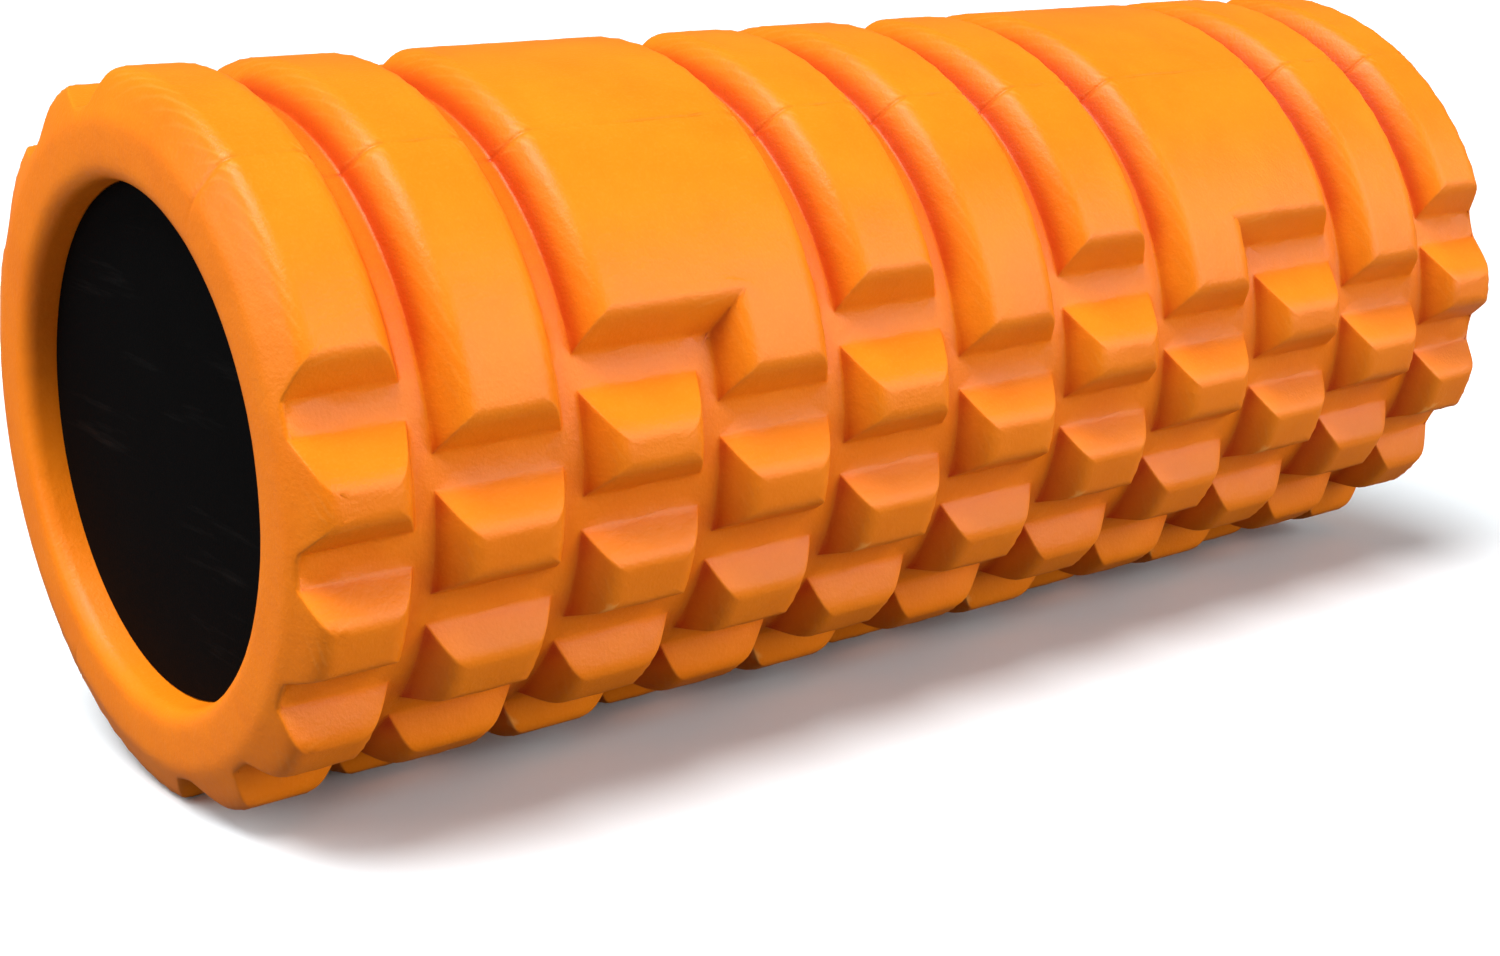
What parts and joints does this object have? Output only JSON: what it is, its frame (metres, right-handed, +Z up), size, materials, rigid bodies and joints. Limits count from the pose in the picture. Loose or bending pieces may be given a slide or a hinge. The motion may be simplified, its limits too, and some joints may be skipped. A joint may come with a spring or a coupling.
{
  "type": "foam roller",
  "caption": "Foam roller: a soft moulded sleeve with a block and band tread, bonded on a rigid tube that is closed by a flat cap in each end.",
  "frame": {"origin": "under the middle of the roller, on the surface that it lies on", "axes": "+X along the roller, from the near end to the far end; +Z up; the moulding seam is turned 30 degrees from +Z towards -Y"},
  "size_m": [0.33, 0.14, 0.14],
  "materials": {
    "foam_sleeve": "satin moulded foam",
    "core_tube": "matt black",
    "end_caps": "matt black, fine grain"
  },
  "bodies": {
    "root": {"foam_sleeve": "foam_sleeve", "core_tube": "core_tube", "end_cap_near": "end_caps", "end_cap_far": "end_caps"}
  },
  "joints": []
}
